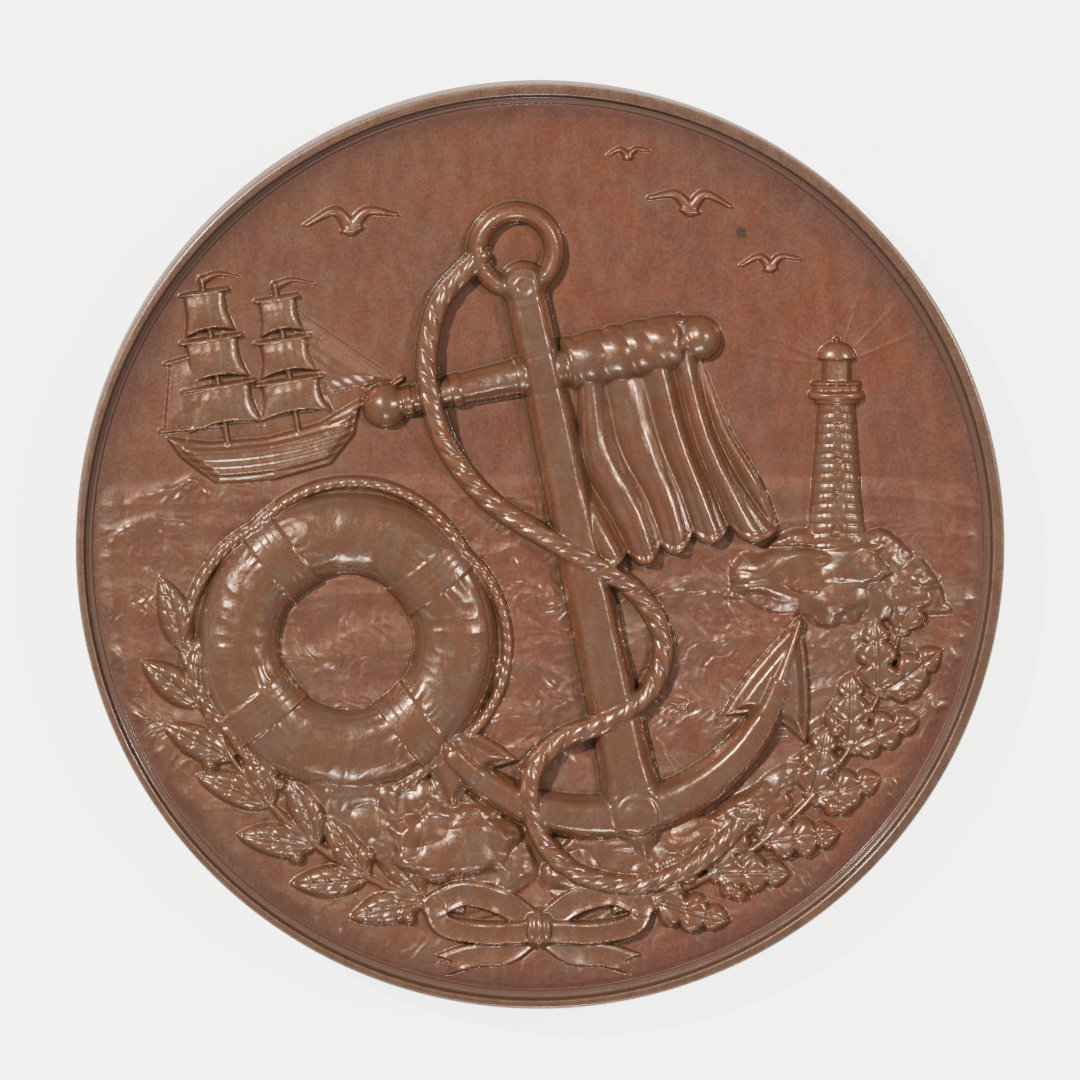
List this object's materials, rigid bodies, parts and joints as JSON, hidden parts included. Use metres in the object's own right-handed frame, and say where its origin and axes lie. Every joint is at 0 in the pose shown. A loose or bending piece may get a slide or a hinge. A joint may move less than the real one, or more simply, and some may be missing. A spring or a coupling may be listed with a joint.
{
  "type": "bronze gallantry medal",
  "caption": "Round struck bronze medal with a raised rim, a dished field and a high relief of rescue gear before a stormy sea; plain recessed back.",
  "frame": {"origin": "centre of the back rim's plane, on the surface that the medal lies on", "axes": "+Z out of the struck face, +Y to the top of the picture, +X to its right"},
  "size_m": [0.0576, 0.0576, 0.0055],
  "materials": {
    "bronze": "red-brown patinated bronze, satin, rubbed brighter on the rim and the high relief"
  },
  "bodies": {
    "root": {"medal": "bronze"}
  },
  "joints": []
}
